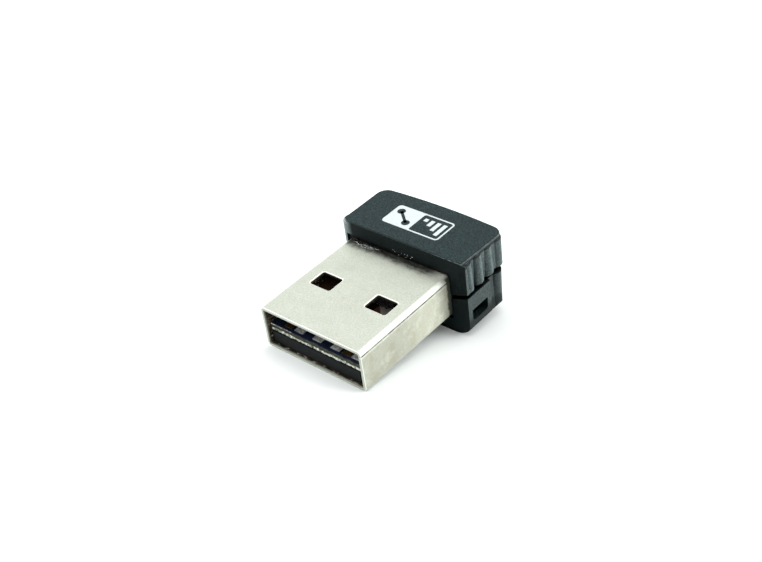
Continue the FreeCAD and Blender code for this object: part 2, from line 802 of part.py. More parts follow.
def make_upper_case():
    """Top half of the case."""
    body = new_body("upper_case")
    case_outline(body, "UpperOutline", "gap_high", "case_top - gap_high", "upper_depth", "case_corner")
    top = value("case_top")
    round_edges(body, "UpperRim", "case_edge", lambda p, e: near(p.z, top))
    flange = new_sketch(body, "UpperFlange", "XY_Plane", "gap_high")
    rectangle(flange, ("case_right - 1", "0"), ("grip_right", "flange_sheet"))
    pad(body, flange, "case_top - case_edge - gap_high")
    for row in range(4):
        last = row == 3
        tuck = "rib_tuck" if last else "0"
        crown = "rib_radius" if last else "rib_crown"
        upper_ribs(body, "UpperRibRight%d" % row, "grip_right - rib_radius - %s" % tuck,
                   "rib_first + %d * rib_pitch" % row, crown)
        upper_ribs(body, "UpperRibLeft%d" % row, "grip_left + rib_radius + %s" % tuck,
                   "rib_radius + 0.02 + %d * 0.97 * rib_pitch" % row, crown if row else "rib_radius")
    cavity = new_sketch(body, "UpperCavity", "XY_Plane", "gap_high")
    rectangle(cavity, ("cavity_left", "cavity_front"), ("cavity_right", "cavity_back"))
    pocket(body, cavity, "case_top - case_roof - gap_high", back=True)
    rebate = tongue_outline(body, "UpperRebate", "gap_high", "fit_gap")
    pocket(body, rebate, "gap_low + tongue_height + 0.1 - gap_high", back=True)
    wedge = new_sketch(body, "UpperWedge", "XZ_Plane", "-tongue_set + fit_gap")
    slope(wedge, "gap_high", 1, "gap_high + 0.5")
    pad(body, wedge, "tongue_set - fit_gap")
    cut_plug_opening(body)
    for name, side in (("Left", "-1"), ("Right", "1")):
        post = new_sketch(body, "UpperPost" + name, "XY_Plane", "board_top")
        circle(post, "%s * pin_offset" % side, "pin_back", "post_radius")
        pad(body, post, "case_top - case_roof + 0.2 - board_top")
        socket = new_sketch(body, "UpperSocket" + name, "XY_Plane", "board_top")
        circle(socket, "%s * pin_offset" % side, "pin_back", "pin_radius + fit_gap")
        pocket(body, socket, "pin_rise + 0.15", back=True)
    return body


def make_lower_case():
    """Bottom half of the case, with the tongue, the posts and the lanyard passage."""
    body = new_body("lower_case")
    case_outline(body, "LowerOutline", "gap_low", "gap_low - case_bottom", "lower_depth",
                 "low_corner", back=True)
    panel = new_sketch(body, "SidePanels", "XY_Plane", "gap_low")
    polygon(panel, (
        ("grip_left + case_front_corner + 0.1", "0"),
        ("grip_right", "0"),
        ("grip_right", "panel_end"),
        ("grip_left", "panel_end"),
        ("grip_left", "case_front_corner + 0.1"),
    ))
    pad(body, panel, "gap_low - case_bottom", back=True)
    for name, x in (("LowerRibRight", "grip_right - rib_radius"),
                    ("LowerRibLeft", "grip_left + rib_radius")):
        grip_rib(body, name, x, "low_rib_centre", "case_bottom", "gap_low",
                 "low_rib_foot", "low_rib_radius")
    round_keel(body)
    tongue = tongue_outline(body, "Tongue", "gap_low", "0")
    pad(body, tongue, "tongue_height")
    cavity = new_sketch(body, "LowerCavity", "XY_Plane", "gap_low + tongue_height")
    shell_side = "plug_width / 2 + throat_gap"
    polygon(cavity, (
        ("-" + "(%s)" % shell_side, "cavity_front"),
        (shell_side, "cavity_front"),
        (shell_side, "slot_back + 0.5"),
        ("cavity_right", "slot_back + 0.5"),
        ("cavity_right", "cavity_back"),
        ("cavity_left", "cavity_back"),
        ("cavity_left", "plug_inside + tab_length + 0.2"),
        ("-" + "(%s)" % shell_side, "plug_inside + tab_length + 0.2"),
    ))
    pocket(body, cavity, "gap_low + tongue_height - case_bottom - case_roof")
    for name, side in (("Right", 1), ("Left", -1)):
        cut = new_sketch(body, "LowerSlope" + name, "XZ_Plane", "-tongue_set")
        slope(cut, "gap_low", side, "gap_low + 2")
        pocket(body, cut, "tongue_set + 1", back=True)
    cut_plug_opening(body)
    cut_lanyard_passage(body)
    for name, side in (("Left", "-1"), ("Right", "1")):
        post = new_sketch(body, "LowerPost" + name, "XY_Plane", "board_top - board_sheet")
        circle(post, "%s * pin_offset" % side, "pin_back", "post_radius")
        pad(body, post, "board_top - board_sheet - case_bottom - case_roof + 0.2", back=True)
        pin = new_sketch(body, "Pin" + name, "XY_Plane", "board_top - board_sheet - 0.2")
        circle(pin, "%s * pin_offset" % side, "pin_back", "pin_radius")
        pad(body, pin, "board_sheet + 0.2 + pin_rise")
    return body


def round_keel(body):
    """Round the lower case's long bottom edges and its bottom back edge."""
    length = "lower_depth + case_bulge"
    width = "grip_right - grip_left + 2"
    for name, role, offset, edge, side, rise, run, reach in (
            ("Right", "XZ_Plane", "-%s - 1" % length, "grip_right", 1, "keel_side", "keel_foot", length),
            ("Left", "XZ_Plane", "-%s - 1" % length, "grip_left", -1, "keel_side", "keel_foot", length),
            ("Back", "YZ_Plane", "grip_left - 1", length, 1, "keel_back", "keel_back", width)):
        sketch = new_sketch(body, "Keel" + name, role, offset)
        foot = "%s - (%d) * %s" % (edge, side, run)
        beyond = "%s + (%d)" % (edge, side)
        keel_cut(sketch, (
            (foot, "case_bottom"),
            (foot, "case_bottom - 1"),
            (beyond, "case_bottom - 1"),
            (beyond, "case_bottom + " + rise),
            (edge, "case_bottom + " + rise),
        ), side)
        pocket(body, sketch, reach + " + 2", back=True)


def keel_cut(sketch, corners, side):
    """The outside of a rounded corner: straight runs closed by the rounding's arc."""
    points = [FreeCAD.Vector(value(x), value(y), 0) for x, y in corners]
    last = len(points) - 1
    for index in range(last):
        sketch.addGeometry(Part.LineSegment(points[index], points[index + 1]))
    radius = value("keel_round")
    chord = points[last] - points[0]
    sag = radius - (radius ** 2 - (chord.Length / 2) ** 2) ** 0.5
    outward = FreeCAD.Vector(side * abs(chord.y), -abs(chord.x), 0).normalize()
    middle = (points[0] + points[last]) / 2 + outward * sag
    ends = [points[last], points[0]] if side < 0 else [points[0], points[last]]
    start, end = (1, 2) if side < 0 else (2, 1)
    sketch.addGeometry(Part.Arc(ends[0], middle, ends[1]))
    for index in range(last - 1):
        sketch.addConstraint(Sketcher.Constraint("Coincident", index, 2, index + 1, 1))
    sketch.addConstraint(Sketcher.Constraint("Coincident", last - 1, 2, last, start))
    sketch.addConstraint(Sketcher.Constraint("Coincident", last, end, 0, 1))
    for index in range(last):
        place(sketch, index, 1, *corners[index])
    place(sketch, last - 1, 2, *corners[last])
    number = sketch.addConstraint(Sketcher.Constraint("Radius", last, radius))
    sketch.setExpression("Constraints[%d]" % number, bound("keel_round"))


def cut_lanyard_passage(body):
    """A slot in the side that turns down through the bottom and leaves a bar for a cord."""
    side = new_sketch(body, "LanyardSide", "YZ_Plane", "slot_inside")
    rectangle(side, ("slot_front", "slot_low"), ("slot_back", "slot_high"))
    pocket(body, side, "grip_right + 2 - slot_inside", back=True)
    under = new_sketch(body, "LanyardUnder", "XY_Plane", "slot_high")
    rectangle(under, ("slot_inside", "slot_front"), ("slot_bar", "slot_back"))
    pocket(body, under, "slot_high - case_bottom + 1")
    front = value("slot_front")
    back = value("slot_back")
    bar = value("slot_bar")
    round_edges(body, "LanyardEnds", "slot_corner", lambda p, e: straight(e, 0)
                and p.x > bar and (near(p.y, front) or near(p.y, back)))


for make in (make_upper_case, make_lower_case, make_plug_shell, make_shell_adhesive,
             make_board_carrier, make_circuit_board, make_contacts, make_test_pads,
             make_shell_solder, make_wifi_chip, make_crystal, make_regulator, make_inductor,
             make_small_parts, make_antenna):
    make()
doc.recompute()

for item in doc.Objects:
    if "Invalid" in item.State or "Error" in item.State:
        raise RuntimeError("%s did not compute: %s" % (item.Name, item.State))
for item in sub_parts:
    if item.Shape.isNull() or not item.Shape.isValid():
        raise RuntimeError("%s has no valid shape" % item.Label)

os.makedirs("parts", exist_ok=True)
for item in sub_parts:
    item.Shape.exportStep("parts/%s.step" % item.Label)
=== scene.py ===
import json
import math
import random

import bmesh
import bpy
from mathutils import Matrix, Vector, noise


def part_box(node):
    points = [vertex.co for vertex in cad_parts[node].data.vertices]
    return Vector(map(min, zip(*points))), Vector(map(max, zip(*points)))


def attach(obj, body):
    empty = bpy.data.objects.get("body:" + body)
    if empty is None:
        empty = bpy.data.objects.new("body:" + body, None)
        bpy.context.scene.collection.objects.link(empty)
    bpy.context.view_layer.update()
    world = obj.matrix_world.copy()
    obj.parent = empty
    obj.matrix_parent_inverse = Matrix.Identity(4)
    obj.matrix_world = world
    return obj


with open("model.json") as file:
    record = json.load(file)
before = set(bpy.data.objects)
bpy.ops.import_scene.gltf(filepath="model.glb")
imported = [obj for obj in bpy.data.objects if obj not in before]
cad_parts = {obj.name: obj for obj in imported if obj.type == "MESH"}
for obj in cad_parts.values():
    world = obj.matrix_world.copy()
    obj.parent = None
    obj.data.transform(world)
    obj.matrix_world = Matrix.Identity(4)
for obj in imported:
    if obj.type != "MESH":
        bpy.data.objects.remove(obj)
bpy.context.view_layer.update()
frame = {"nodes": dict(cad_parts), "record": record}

# Scene for the USB wireless adapter. Same frame as the CAD model, in metres: +X across
# the plug, +Y from the plug's mouth to the case's back, +Z up to the printed top. The
# case's front wall stands at y = 0.

MM = 0.001
random.seed(7)

nodes = frame["nodes"]


# ---------------------------------------------------------------- material helpers

class Nodes:
    """A short way to build a material's node tree."""

    def __init__(self, name):
        self.material = bpy.data.materials.new(name)
        self.material.use_nodes = True
        self.tree = self.material.node_tree
        self.tree.nodes.clear()
        self.shader = self.node("BsdfPrincipled")
        self.link(self.shader.outputs[0], self.node("OutputMaterial").inputs["Surface"])
        self.place = self.node("TexCoord").outputs["Object"]

    def link(self, source, socket):
        self.tree.links.new(source, socket)

    def node(self, kind, **settings):
        made = self.tree.nodes.new("ShaderNode" + kind)
        for key, setting in settings.items():
            setattr(made, key, setting)
        return made

    def fill(self, socket, source):
        """Feed a socket with another socket or set it to a plain number or colour."""
        if isinstance(source, bpy.types.NodeSocket):
            self.link(source, socket)
        else:
            socket.default_value = source

    def noise(self, scale, detail=3.0, roughness=0.5, stretch=(1, 1, 1), offset=(0, 0, 0)):
        mapped = self.node("Mapping")
        self.link(self.place, mapped.inputs["Vector"])
        mapped.inputs["Scale"].default_value = stretch
        mapped.inputs["Location"].default_value = offset
        made = self.node("TexNoise")
        self.link(mapped.outputs[0], made.inputs["Vector"])
        made.inputs["Scale"].default_value = scale
        made.inputs["Detail"].default_value = detail
        made.inputs["Roughness"].default_value = roughness
        return made.outputs["Fac"]

    def ramp(self, source, stops):
        """A colour ramp; each stop is a position and a grey level or a colour."""
        made = self.node("ValToRGB")
        ramp = made.color_ramp
        while len(ramp.elements) < len(stops):
            ramp.elements.new(0.5)
        for element, (position, colour) in zip(ramp.elements, stops):
            element.position = position
            if not isinstance(colour, (tuple, list)):
                colour = (colour,) * 3
            element.color = (*colour, 1)
        self.link(source, made.inputs["Fac"])
        return made.outputs["Color"]

    def mottle(self, cloud, low, high):
        """Wanders with a noise between two grey levels or two colours."""
        return self.ramp(cloud, [(0.3, low), (0.7, high)])

    def math(self, operation, a, b=0.0):
        made = self.node("Math", operation=operation)
        self.fill(made.inputs[0], a)
        self.fill(made.inputs[1], b)
        return made.outputs[0]

    def times(self, product, *factors):
        for factor in factors:
            product = self.math("MULTIPLY", product, factor)
        return product

    def magnitude(self, source):
        return self.math("ABSOLUTE", source)

    def mix(self, amount, a, b, blend="MIX"):
        made = self.node("Mix", data_type="RGBA", blend_type=blend)
        self.fill(made.inputs["Factor"], amount)
        self.fill(made.inputs[6], a)
        self.fill(made.inputs[7], b)
        return made.outputs[2]

    def tint(self, amount, colour, tint):
        """Multiplies a colour by a tint, as far as the amount says."""
        return self.mix(amount, colour, tint, "MULTIPLY")

    def parts(self, vector):
        made = self.node("SeparateXYZ")
        self.link(vector, made.inputs[0])
        return tuple(made.outputs)

    def position(self):
        """Where a point of the surface lies in the CAD frame: x, y and z in metres."""
        return self.parts(self.place)

    def facing(self, kind="Normal"):
        """Which way the surface faces there: the x, y and z of its normal."""
        return self.parts(self.node("NewGeometry").outputs[kind])

    def between(self, source, low, high):
        """Rises from 0 to 1 as the source goes from low to high, which may be the smaller."""
        made = self.node("MapRange", interpolation_type="SMOOTHSTEP")
        self.link(source, made.inputs["Value"])
        made.inputs["From Min"].default_value = low
        made.inputs["From Max"].default_value = high
        return made.outputs["Result"]

    def between_mm(self, source, low, high):
        """The same for a length in metres, with both limits given in millimetres."""
        return self.between(source, low * MM, high * MM)

    def openness(self, reach):
        """1 on open surfaces, falling towards 0 in corners and slits narrower than the reach."""
        made = self.node("AmbientOcclusion", samples=8)
        made.inputs["Distance"].default_value = reach
        return made.outputs["AO"]

    def bump(self, height, strength, distance):
        made = self.node("Bump")
        made.inputs["Strength"].default_value = strength
        made.inputs["Distance"].default_value = distance
        self.link(height, made.inputs["Height"])
        self.link(made.outputs[0], self.shader.inputs["Normal"])

    def set(self, **values):
        for key, setting in values.items():
            self.fill(self.shader.inputs[key.replace("_", " ")], setting)


def rgb(r, g, b):
    return (r, g, b, 1)


def grey(level):
    return rgb(level, level, level)


# ---------------------------------------------------------------- materials

FINE_BUMP = 0.01 * MM


def case_plastic():
    """Black moulded plastic, with light and shade painted by facing: a paler grainy roof, a smooth
    dark front, paler grip sides.
    """
    m = Nodes("case_plastic")
    x, y, z = m.position()
    face_x, face_y, face_z = m.facing()
    grain = m.noise(8000, 2, 0.6)
    patch = m.noise(700, 3, 0.6)
    forwards = m.between(face_y, -0.45, -0.9)

    front = m.mottle(patch, (0.0019, 0.0054, 0.0056), (0.0031, 0.0076, 0.0079))
    rear = m.mottle(patch, (0.011, 0.0155, 0.0155), (0.017, 0.023, 0.023))
    # painted light and shade: only the roof is painted paler; ledges below it are painted as dark
    # as the front
    roof = m.mottle(patch, (0.0032, 0.0112, 0.0122), (0.0062, 0.0158, 0.0172))
    roof = m.mix(m.between_mm(z, 3.6, 4.0), front, roof)
    # painted light: the flat panels and the ribs' rear flanks, which face the key light, are
    # painted paler than their front flanks
    side = m.mottle(patch, (0.026, 0.037, 0.037), (0.038, 0.053, 0.052))
    flanks = m.ramp(m.between(face_y, -0.75, 0.75), [(0.0, 0.62), (0.5, 1.0), (1.0, 2.0)])
    side = m.tint(1.0, side, flanks)
    # painted light and shade: the left side is darker, the ribs are paler, and the foot is as dark
    # as the front
    side = m.tint(m.times(m.between(face_x, -0.2, -0.5), 0.9), side, grey(0.5))
    side = m.tint(m.times(m.between_mm(z, 0.5, 0.9), 0.8), side, grey(1.7))
    side = m.mix(m.between_mm(z, -1.50, -2.35), side, front)

    # painted light and shade by facing: the sides take the pale side colour; the front, the back
    # and downward faces take darker colours
    colour = m.mix(m.between(m.magnitude(face_x), 0.35, 0.9), roof, side)
    colour = m.mix(forwards, colour, front)
    colour = m.mix(m.between(face_y, 0.60, 0.92), colour, rear)
    colour = m.mix(m.between(face_z, -0.08, -0.40), colour, front)
    # the grain shows more on the roof than elsewhere
    strong = m.ramp(grain, [(0.32, 0.16), (0.50, 1.0), (0.68, 3.0)])
    gentle = m.ramp(grain, [(0.32, 0.52), (0.50, 1.0), (0.68, 1.85)])
    colour = m.tint(1.0, colour, m.mix(m.between(face_z, 0.6, 0.9), gentle, strong))

    # painted highlight: the front left corner is painted pale
    painted_corner_highlight = m.times(m.between_mm(x, -5.3, -6.1), m.between(face_y, -0.1, -0.4),
                     m.between_mm(y, 1.2, 0.8),
                     m.ramp(m.noise(1200, 3, 0.6), [(0.35, 0.6), (0.65, 0.95)]))
    colour = m.mix(painted_corner_highlight, colour, rgb(0.19, 0.235, 0.235))
    # painted shade: a dark line runs under the right rim
    shade = m.times(m.between_mm(z, 3.84, 3.90), m.between_mm(z, 4.12, 4.07),
                    m.between(face_x, 0.25, 0.45))
    colour = m.mix(m.times(shade, 0.9), colour, rgb(0.001, 0.0015, 0.0015))
    # the roof's rounded edge takes a plain dark colour and shines less; a painted highlight runs
    # along its crest, paler towards the right
    in_edge = m.between_mm(z, 4.08, 4.13)
    edge = m.times(m.between(face_z, 0.30, 0.50), in_edge, m.between(face_z, 0.995, 0.97))
    colour = m.mix(m.times(edge, 0.7), colour, rgb(0.008, 0.012, 0.012))
    crest_highlight = m.times(m.between(face_z, 0.48, 0.60), m.between(face_z, 0.90, 0.80), in_edge,
                    m.ramp(m.noise(2600, 3, 0.7), [(0.38, 0.10), (0.62, 1.0)]),
                    m.ramp(m.between_mm(x, 3.0, 6.6), [(0.0, 0.12), (1.0, 0.95)]))
    colour = m.mix(crest_highlight, colour, rgb(0.125, 0.15, 0.15))

    # painted shade: slits and the passage are painted nearly black, and nothing shines in them
    open_to_air = m.between(m.openness(0.9 * MM), 0.30, 0.86)
    colour = m.mix(open_to_air, rgb(0.0004, 0.0006, 0.0006), colour)
    shine = m.math("SUBTRACT", 0.20, m.times(m.math("MAXIMUM", forwards, edge), 0.13))
    m.set(Base_Color=colour, Roughness=m.mottle(patch, 0.46, 0.58),
          Specular_IOR_Level=m.times(open_to_air, shine))
    m.bump(grain, 0.6, 2 * FINE_BUMP)
    return m.material


def stains_and_shade_plate(m, colour, cloud, sideways):
    """Faint stains, sides painted darker and warmer with shade, smears, painted light towards the
    case, and a few pits.
    """
    _, y, _ = m.position()
    face_x, _, face_z = m.facing()
    stain = m.ramp(cloud, [(0.42, 0.0), (0.75, 1.0)])
    colour = m.mix(m.times(stain, 0.22), colour, rgb(0.34, 0.35, 0.28))
    # painted shade: the sides are darker and warmer
    colour = m.tint(m.times(sideways, 0.9), colour, rgb(0.82, 0.785, 0.745))
    smear = m.between(m.noise(620, 4, 0.7, offset=(0, 2, 1)), 0.48, 0.64)
    colour = m.mix(m.times(smear, sideways, 0.42), colour, rgb(0.31, 0.29, 0.20))
    wiped = m.between(m.noise(700, 3, 0.65, offset=(5, 0, 2)), 0.48, 0.74)
    colour = m.mix(m.times(wiped, sideways, 0.40), colour, rgb(0.66, 0.69, 0.60))
    # painted light: paler towards the case; painted shade: the left side is darker still
    lit_near_case = m.times(sideways, m.between_mm(y, -7.5, -1.5))
    lit_top_near_case = m.times(m.between(face_z, 0.9, 0.98), m.between_mm(y, -3.6, -1.0), 0.3)
    colour = m.tint(m.math("MAXIMUM", lit_near_case, lit_top_near_case), colour, rgb(1.45, 1.46, 1.45))
    left = m.times(m.between(face_x, -0.90, -0.985), 0.9)
    colour = m.tint(left, colour, rgb(0.55, 0.55, 0.54))
    pits = m.between(m.noise(1300, 2, 0.6, offset=(3, 1, 0)), 0.72, 0.78)
    return m.mix(m.times(pits, 0.45), colour, rgb(0.20, 0.19, 0.15))


def seam_shadow_plate(m, colour, cloud):
    """A ragged band of painted shadow on the top along the case, darkest at the case, and a darker
    patch where the side goes in.
    """
    x, y, z = m.position()
    ragged = m.times(m.math("SUBTRACT", m.noise(1500, 4, 0.7), 0.5), 0.9 * MM)
    streaks = m.ramp(m.noise(3000, 4, 0.75, stretch=(0.5, 1, 1)), [(0.34, 0.70), (0.6, 0.96)])
    # painted shadow: a ragged dark band on the top along the case
    near = m.times(m.between_mm(m.math("ADD", y, ragged), -1.15, -0.30),
                   m.between_mm(x, 5.4, 3.4), m.between_mm(x, -6.0, -5.6),
                   m.between_mm(z, 2.00, 2.15), streaks)
    seam_shadow_colour = m.ramp(cloud, [(0.40, (0.055, 0.055, 0.036)), (0.60, (0.036, 0.040, 0.034))])
    colour = m.mix(near, colour, seam_shadow_colour)
    # the painted shadow is darkest right at the case
    shadow_core_line = m.math("ADD", y, m.times(ragged, 0.5))
    shadow_core = m.times(near, m.between_mm(shadow_core_line, -0.38, -0.16), 0.85)
    colour = m.mix(shadow_core, colour, rgb(0.010, 0.011, 0.010))
    # darker where the side goes into the case
    side_end_line = m.math("ADD", y, m.times(ragged, 0.8))
    side_end_dark = m.times(m.between_mm(side_end_line, -0.50, -0.22), m.between_mm(x, 5.7, 5.9), 0.92)
    return m.mix(side_end_dark, colour, rgb(0.045, 0.048, 0.035))


def fold_plate(m, colour):
    """A painted highlight on the right bend; a painted pale highlight strip and a painted dark
    fold line of shade run below it.
    """
    x, y, z = m.position()
    face_x, _, _ = m.facing()
    on_side = m.between_mm(x, 5.8, 5.9)
    before_case = m.between_mm(y, -0.2, -1.0)
    # painted highlight along the right bend
    bend_highlight = m.times(m.between_mm(x, 5.50, 5.56), m.between_mm(z, 1.79, 1.84),
                   m.between(face_x, 0.12, 0.48), before_case, 0.62)
    colour = m.mix(bend_highlight, colour, rgb(0.84, 0.86, 0.80))
    # a painted pale highlight strip below the bend
    strip_highlight = m.times(m.between_mm(z, 1.42, 1.62), on_side,
                    m.ramp(m.noise(1500, 3, 0.7), [(0.35, 0.2), (0.6, 0.75)]), before_case)
    colour = m.mix(strip_highlight, colour, rgb(0.80, 0.83, 0.74))
    # painted shade: a dark line along the fold
    from_fold = m.magnitude(m.math("SUBTRACT", z, 1.78 * MM))
    fold_shade = m.times(m.between_mm(from_fold, 0.11, 0.04), on_side,
                   m.ramp(m.noise(1800, 3, 0.7), [(0.35, 0.60), (0.6, 0.98)]))
    return m.mix(fold_shade, colour, rgb(0.05, 0.045, 0.03))


def darken_openings(m, colour):
    """A dark brown film with pale flecks inside the shell, which also paints the shade there, and
    painted shade on the latch windows' walls.
    """
    x, y, z = m.position()
    # inside the shell: a dark brown film with pale flecks, which also paints the shade in there
    inside = m.times(m.between_mm(m.magnitude(x), 5.85, 5.75),
                     m.between_mm(m.magnitude(z), 2.10, 2.00), m.between_mm(y, -12.12, -11.95))
    film_and_shade = m.ramp(m.noise(4000, 3, 0.7, stretch=(0.4, 1, 1)),
                  [(0.38, (0.014, 0.011, 0.007)), (0.55, (0.085, 0.065, 0.038)),
                   (0.66, (0.55, 0.50, 0.40))])
    colour = m.mix(inside, colour, film_and_shade)
    # painted shade on the walls of the latch windows
    wall = m.times(m.between_mm(z, 2.16, 2.11), m.between_mm(z, 1.85, 1.90),
                   m.between_mm(m.magnitude(x), 5.2, 5.0), m.between_mm(y, -11.9, -11.8))
    return m.mix(wall, colour, rgb(0.050, 0.040, 0.025))


def plug_steel():
    """Satin nickel plate: fine grain, stains and smears, painted light and shade, and painted
    highlights on the rolled edges.
    """
    m = Nodes("plug_steel")
    x, y, z = m.position()
    face_x, face_y, face_z = m.facing()
    speck = m.noise(9000, 3, 0.65)
    cloud = m.noise(450, 4, 0.6)
    sideways = m.between(m.magnitude(face_x), 0.90, 0.985)
    colour = m.ramp(speck, [(0.3, (0.39, 0.42, 0.355)), (0.5, (0.50, 0.53, 0.455)),
                            (0.7, (0.58, 0.61, 0.54))])
    colour = stains_and_shade_plate(m, colour, cloud, sideways)
    colour = seam_shadow_plate(m, colour, cloud)
    colour = fold_plate(m, colour)
    colour = darken_openings(m, colour)
    # painted highlights on the rolled edges: round the windows and along the mouth
    rolled = m.times(m.between(face_z, 0.30, 0.45), m.between(face_z, 0.965, 0.91),
                     m.between_mm(m.magnitude(x), 5.2, 5.0), m.between_mm(z, 2.08, 2.15))
    lip = m.times(m.between(face_y, -0.20, -0.45), m.between(face_y, -0.985, -0.90),
                  m.between_mm(y, -12.00, -12.05), 0.8)
    bright = m.math("MAXIMUM", rolled, lip)
    colour = m.mix(bright, colour, rgb(0.93, 0.95, 0.90))
    # the edges with painted highlights and the sides mirror less than the top
    metal = m.math("SUBTRACT", 0.62, m.times(bright, 0.5))
    metal = m.math("SUBTRACT", metal, m.times(sideways, 0.25))
    m.set(Base_Color=colour, Metallic=m.math("MAXIMUM", metal, 0.05),
          Roughness=m.mottle(m.noise(2500, 3, 0.6), 0.38, 0.5))
    m.bump(speck, 0.22, FINE_BUMP)
    return m.material


def behind_mouth(m):
    """Rises from 0 to 1 deeper in the plug, past the front ends of the contacts."""
    _, y, _ = m.position()
    return m.between_mm(y, -10.0, -8.8)


def plain_metal(name, low, high, rough, metallic=1.0):
    """Plated or tinned metal with slight mottling, painted dark with shade deeper in the plug."""
    m = Nodes(name)
    cloud = m.noise(3000, 3, 0.6)
    # painted shade: darker deeper in the plug
    deep_shade = m.times(behind_mouth(m), 0.93)
    m.set(Base_Color=m.mix(deep_shade, m.mottle(cloud, low, high), rgb(0.01, 0.008, 0.006)),
          Metallic=metallic, Roughness=m.mottle(cloud, rough, rough + 0.12))
    m.bump(cloud, 0.15, FINE_BUMP)
    return m.material


def moulded(name, low, high, rough, scale=4000, shine=0.25):
    """Moulded or fired material with a fine surface."""
    m = Nodes(name)
    cloud = m.noise(scale, 3, 0.6)
    m.set(Base_Color=m.mottle(cloud, low, high), Roughness=m.mottle(cloud, rough, rough + 0.1),
          Specular_IOR_Level=shine)
    m.bump(cloud, 0.2, FINE_BUMP)
    return m.material


def board_mask():
    """Navy solder mask, painted dark brown with shade deeper in the plug; cut edges of pale glass
    fibre.
    """
    m = Nodes("board_mask")
    x, y, z = m.position()
    low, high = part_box("circuit_board")
    cloud = m.noise(2500, 3, 0.6)
    mask = m.mottle(cloud, (0.008, 0.014, 0.038), (0.014, 0.024, 0.062))
    # painted shade deeper in the plug: dark brown, with a grey patch that ends on a slanting line
    grey_patch = m.times(m.between_mm(m.math("ADD", x, y), -3.20, -3.12), m.between_mm(y, -6.2, -6.0))
    deep_shade = m.mix(grey_patch, rgb(0.075, 0.038, 0.020), rgb(0.24, 0.22, 0.195))
    mask = m.mix(behind_mouth(m), mask, deep_shade)
    fibre = m.noise(4200, 4, 0.75, stretch=(0.45, 1, 2.2))
    edge = m.ramp(fibre, [(0.34, (0.02, 0.025, 0.014)), (0.47, (0.20, 0.22, 0.15)),
                          (0.56, (0.50, 0.53, 0.43)), (0.68, (0.88, 0.90, 0.80))])
    # torn pale fibre along the lower corner, a thin line along the upper corner at the left
    height = m.math("SUBTRACT", z, (low.z + high.z) / 2)
    ragged = m.times(m.math("SUBTRACT", m.noise(1500, 4, 0.75), 0.5), 0.40 * MM)
    lower = m.between_mm(m.math("ADD", height, ragged), -0.04, -0.14)
    upper = m.times(m.between_mm(height, 0.24, 0.32), m.between_mm(x, -2.6, -4.0))
    torn = m.times(m.math("MAXIMUM", lower, upper),
                   m.between(m.noise(2600, 3, 0.7), 0.30, 0.46))
    edge = m.tint(m.math("SUBTRACT", 1.0, torn), edge, rgb(0.09, 0.095, 0.065))
    burr = m.times(torn, m.between(m.noise(3000, 3, 0.7, offset=(2, 0, 0)), 0.44, 0.56), 0.85)
    edge = m.mix(burr, edge, rgb(0.90, 0.92, 0.85))
    flat = m.between(m.magnitude(m.facing("True Normal")[2]), 0.3, 0.7)
    colour = m.mix(flat, edge, mask)
    # painted shade: enclosed spots of the board are painted nearly black
    open_to_air = m.between(m.openness(2 * MM), 0.0, 0.40)
    m.set(Base_Color=m.mix(open_to_air, grey(0.002), colour),
          Roughness=m.mix(flat, grey(0.85), grey(0.28)))
    m.bump(m.mix(flat, fibre, cloud), 0.2, FINE_BUMP)
    return m.material


def print_ink():
    """Pad-printed white ink, a little uneven."""
    m = Nodes("print_ink")
    cloud = m.noise(6000, 3, 0.6)
    m.set(Base_Color=m.mottle(cloud, (0.42, 0.465, 0.47), (0.50, 0.545, 0.55)), Roughness=0.6)
    m.bump(cloud, 0.1, FINE_BUMP)
    return m.material


def glue():
    """Set glue: nearly black where it is thick, pale brown where it is smeared and chipped."""
    m = Nodes("glue")
    cloud = m.noise(1400, 4, 0.65)
    colour = m.ramp(cloud, [(0.52, (0.0003, 0.0004, 0.0004)), (0.70, (0.006, 0.006, 0.005)),
                            (0.84, (0.16, 0.16, 0.13))])
    m.set(Base_Color=colour, Roughness=m.mottle(cloud, 0.35, 0.7), Specular_IOR_Level=0.12)
    m.bump(cloud, 0.4, 3 * FINE_BUMP)
    return m.material


def pale_dust():
    """Dry dust and torn glue skin: grey to straw coloured, matt."""
    m = Nodes("pale_dust")
    cloud = m.noise(3500, 3, 0.7)
    colour = m.ramp(cloud, [(0.35, (0.05, 0.055, 0.05)), (0.50, (0.22, 0.235, 0.215)),
                            (0.68, (0.55, 0.57, 0.53))])
    m.set(Base_Color=colour, Roughness=0.8, Specular_IOR_Level=0.2)
    m.bump(cloud, 0.4, FINE_BUMP)
    return m.material


PALE_DUST = pale_dust()
MATERIALS = {
    "case_plastic": case_plastic(),
    "plug_steel": plug_steel(),
    "carrier_plastic": moulded("carrier_plastic", (0.0012, 0.0018, 0.0020),
                               (0.0080, 0.0105, 0.0110), 0.5, scale=1500, shine=0.1),
    "board_mask": board_mask(),
    "contact_gold": plain_metal("contact_gold", (0.42, 0.24, 0.08), (0.62, 0.38, 0.14), 0.3),
    "tin": plain_metal("tin", (0.36, 0.375, 0.37), (0.96, 0.97, 0.95), 0.45, metallic=0.12),
    "chip_epoxy": moulded("chip_epoxy", (0.012, 0.012, 0.013), (0.022, 0.022, 0.024), 0.5),
    "part_ceramic": moulded("part_ceramic", (0.34, 0.25, 0.15), (0.44, 0.33, 0.20), 0.45),
    "resistor_glaze": moulded("resistor_glaze", (0.014, 0.014, 0.016), (0.03, 0.03, 0.034), 0.2),
    "glue": glue(),
    "print_ink": print_ink(),
}


SHARP_ANGLE = math.radians(24)


